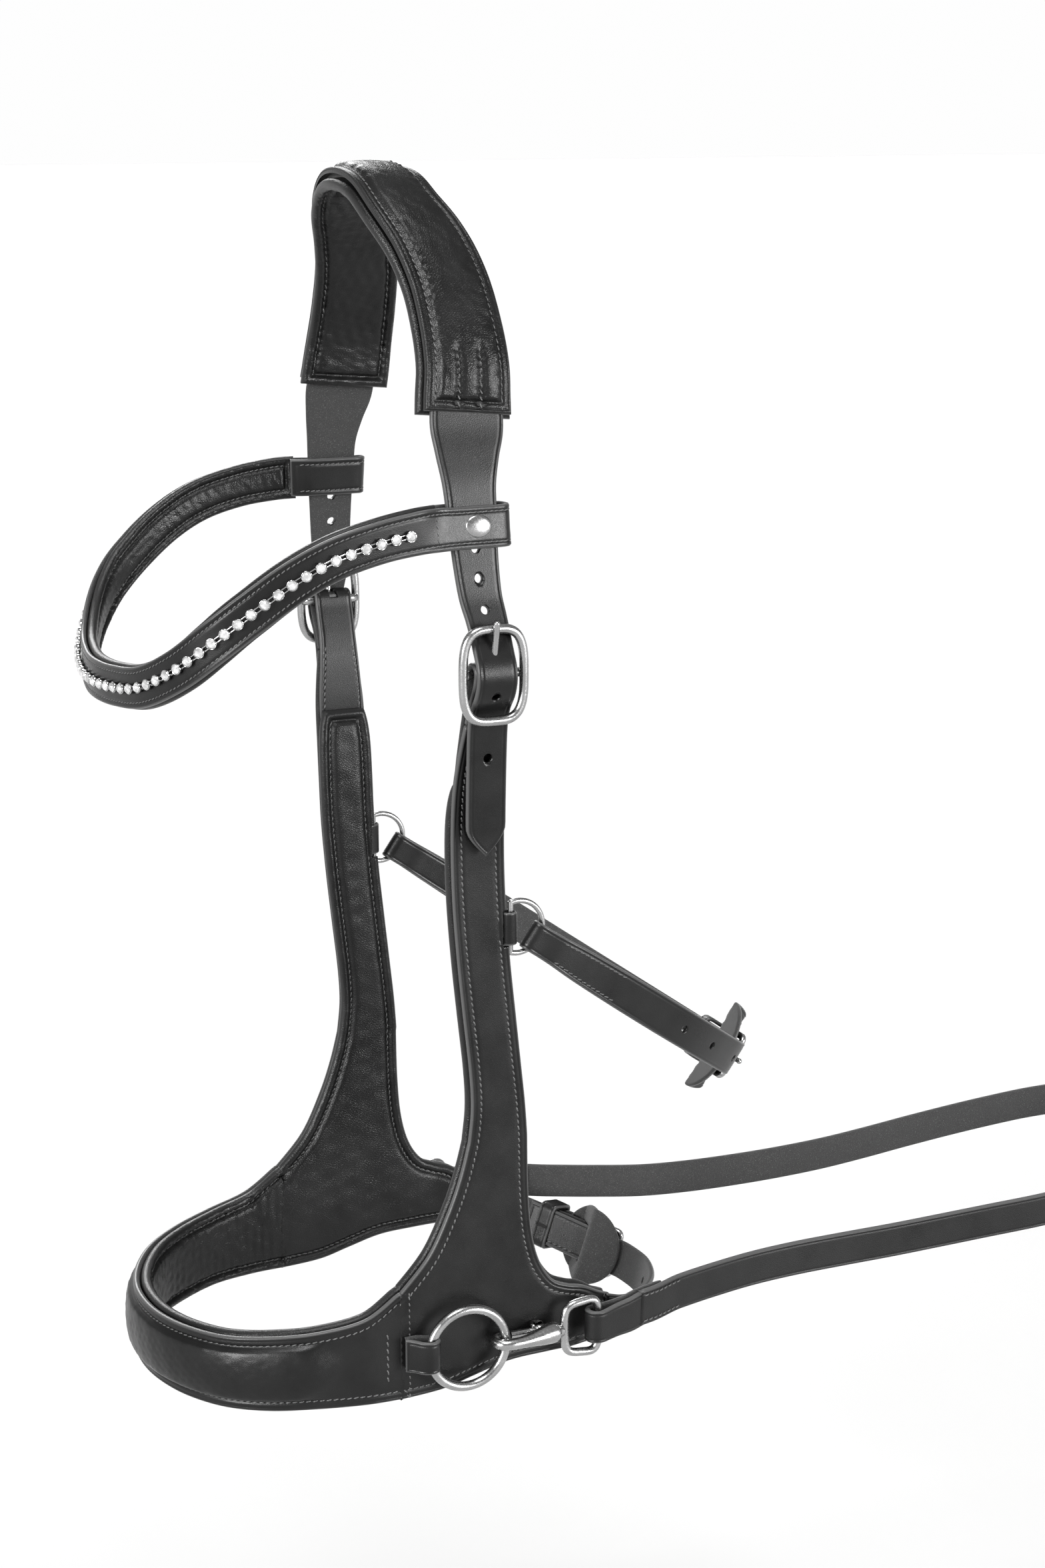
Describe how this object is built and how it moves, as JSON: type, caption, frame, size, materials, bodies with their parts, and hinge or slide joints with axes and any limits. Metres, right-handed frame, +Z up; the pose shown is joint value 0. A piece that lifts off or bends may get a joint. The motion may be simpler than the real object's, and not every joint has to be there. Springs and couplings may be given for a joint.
{
  "type": "bitless bridle",
  "caption": "Bitless side-pull bridle with padded headpiece, crystal browband, flared cheeks, noseband, throat and chin straps, side rings and clip-on reins.",
  "frame": {"origin": "underside of the headpiece's padding at its highest point, where it sits on the poll behind the ears", "axes": "+X to the horse's left, -Y to its nose, +Z up"},
  "size_m": [0.198, 0.5641, 0.5112],
  "materials": {
    "bridle_leather": "smooth black bridle leather, satin",
    "rein_leather": "black leather, smooth outside and fleshy inside",
    "padding_leather": "soft grained black nappa over padding",
    "steel": "polished stainless steel",
    "silver_cups": "bright plated cup chain",
    "crystal": "clear faceted glass",
    "thread": "waxed black sewing thread"
  },
  "bodies": {
    "bridle": {"headpiece_strap": "bridle_leather", "crown_leather": "bridle_leather", "crown_padding": "padding_leather", "cheek_leather_left": "bridle_leather", "cheek_leather_right": "bridle_leather", "cheek_lining_left": "padding_leather", "cheek_lining_right": "padding_leather", "noseband_leather": "bridle_leather", "noseband_padding": "padding_leather", "ring_tab_left": "bridle_leather", "ring_tab_right": "bridle_leather", "dee_keeper_left": "bridle_leather", "dee_keeper_right": "bridle_leather", "chin_billet": "bridle_leather", "chin_chape": "bridle_leather", "chin_pad": "bridle_leather", "chin_keeper": "bridle_leather"},
    "browband": {"browband_leather": "bridle_leather", "browband_padding": "padding_leather", "browband_loop_left": "bridle_leather", "browband_loop_right": "bridle_leather", "crystals": "crystal", "crystal_cups": "silver_cups", "loop_stud": "steel"},
    "throat_strap": {"throat_billet": "bridle_leather", "throat_chape": "bridle_leather", "throat_pad": "bridle_leather", "throat_keeper": "bridle_leather"},
    "throat_frame": {"throat_buckle": "steel"},
    "throat_pin": {"throat_tongue": "steel"},
    "chin_frame": {"chin_buckle": "steel"},
    "chin_pin": {"chin_tongue": "steel"},
    "reins": {"snap_hook_left": "steel", "snap_hook_right": "steel", "snap_pin_left": "steel", "snap_pin_right": "steel", "rein_fold_left": "rein_leather", "rein_fold_right": "rein_leather", "rein_left": "rein_leather", "rein_right": "rein_leather", "rein_chape": "rein_leather", "rein_billet": "rein_leather", "rein_keeper": "rein_leather"},
    "rein_frame": {"rein_buckle": "steel"},
    "rein_pin": {"rein_tongue": "steel"},
    "cheek_frame_left": {"cheek_buckle_left": "steel"},
    "cheek_pin_left": {"cheek_tongue_left": "steel"},
    "ring_left": {"side_ring_left": "steel"},
    "dee_left": {"dee_ring_left": "steel"},
    "gate_left": {"snap_gate_left": "steel"},
    "cheek_frame_right": {"cheek_buckle_right": "steel"},
    "cheek_pin_right": {"cheek_tongue_right": "steel"},
    "ring_right": {"side_ring_right": "steel"},
    "dee_right": {"dee_ring_right": "steel"},
    "gate_right": {"snap_gate_right": "steel"}
  },
  "joints": [
    {"name": "browband_shift", "type": "slide", "parent": "bridle", "child": "browband", "axis": [0, 0, 1], "range_m": [-0.003, 0.003]},
    {"name": "cheek_frame_left_tilt", "type": "hinge", "parent": "bridle", "child": "cheek_frame_left", "pos_m": [0.091, 0.0142, -0.182], "axis": [0, 1, 0], "range_deg": [-3, 3]},
    {"name": "cheek_pin_left_lift", "type": "hinge", "parent": "cheek_frame_left", "child": "cheek_pin_left", "pos_m": [0.091, 0.0142, -0.182], "axis": [0, 1, 0], "range_deg": [0, 5]},
    {"name": "ring_left_spin", "type": "hinge", "parent": "bridle", "child": "ring_left", "pos_m": [0.086, 0.0053, -0.467], "axis": [1, 0, 0], "continuous": true},
    {"name": "dee_left_swivel", "type": "hinge", "parent": "bridle", "child": "dee_left", "pos_m": [0.0776, 0.0282, -0.2905], "axis": [0, 0, 1], "range_deg": [-3, 3]},
    {"name": "gate_left_open", "type": "hinge", "parent": "reins", "child": "gate_left", "pos_m": [0.08165, 0.0382, -0.467], "axis": [0, 0, 1], "range_deg": [0, 16], "stiffness_Nm_per_rad": 0.02, "springref_deg": -22.92},
    {"name": "cheek_frame_right_tilt", "type": "hinge", "parent": "bridle", "child": "cheek_frame_right", "pos_m": [-0.091, 0.0142, -0.182], "axis": [0, -1, 0], "range_deg": [-3, 3]},
    {"name": "cheek_pin_right_lift", "type": "hinge", "parent": "cheek_frame_right", "child": "cheek_pin_right", "pos_m": [-0.091, 0.0142, -0.182], "axis": [0, -1, 0], "range_deg": [0, 5]},
    {"name": "ring_right_spin", "type": "hinge", "parent": "bridle", "child": "ring_right", "pos_m": [-0.086, 0.0053, -0.467], "axis": [1, 0, 0], "continuous": true},
    {"name": "dee_right_swivel", "type": "hinge", "parent": "bridle", "child": "dee_right", "pos_m": [-0.0776, 0.0282, -0.2905], "axis": [0, 0, 1], "range_deg": [-3, 3]},
    {"name": "gate_right_open", "type": "hinge", "parent": "reins", "child": "gate_right", "pos_m": [-0.08165, 0.0382, -0.467], "axis": [0, 0, -1], "range_deg": [0, 16], "stiffness_Nm_per_rad": 0.02, "springref_deg": -22.92},
    {"name": "throat_swing", "type": "hinge", "parent": "bridle", "child": "throat_strap", "pos_m": [0, 0.0314, -0.2905], "axis": [1, 0, 0], "range_deg": [-2, 15]},
    {"name": "throat_frame_tilt", "type": "hinge", "parent": "throat_strap", "child": "throat_frame", "pos_m": [0.006, 0.16361, -0.38411], "axis": [0, 0.5779, 0.8161], "range_deg": [0, 3]},
    {"name": "throat_pin_lift", "type": "hinge", "parent": "throat_frame", "child": "throat_pin", "pos_m": [0.006, 0.16361, -0.38411], "axis": [0, 0.5779, 0.8161], "range_deg": [0, 4]},
    {"name": "chin_frame_tilt", "type": "hinge", "parent": "bridle", "child": "chin_frame", "pos_m": [-0.028, 0.11493, -0.48388], "axis": [0, 0.319, 0.9478], "range_deg": [0, 3]},
    {"name": "chin_pin_lift", "type": "hinge", "parent": "chin_frame", "child": "chin_pin", "pos_m": [-0.028, 0.11493, -0.48388], "axis": [0, 0.319, 0.9478], "range_deg": [0, 4]},
    {"name": "reins_swing", "type": "hinge", "parent": "bridle", "child": "reins", "pos_m": [0, 0.0053, -0.467], "axis": [1, 0, 0], "range_deg": [-35, 18]},
    {"name": "rein_frame_tilt", "type": "hinge", "parent": "reins", "child": "rein_frame", "pos_m": [0.0042, 0.43, -0.46], "axis": [0, 0, -1], "range_deg": [0, 3]},
    {"name": "rein_pin_lift", "type": "hinge", "parent": "rein_frame", "child": "rein_pin", "pos_m": [0.0042, 0.43, -0.46], "axis": [0, 0, -1], "range_deg": [0, 4]}
  ]
}
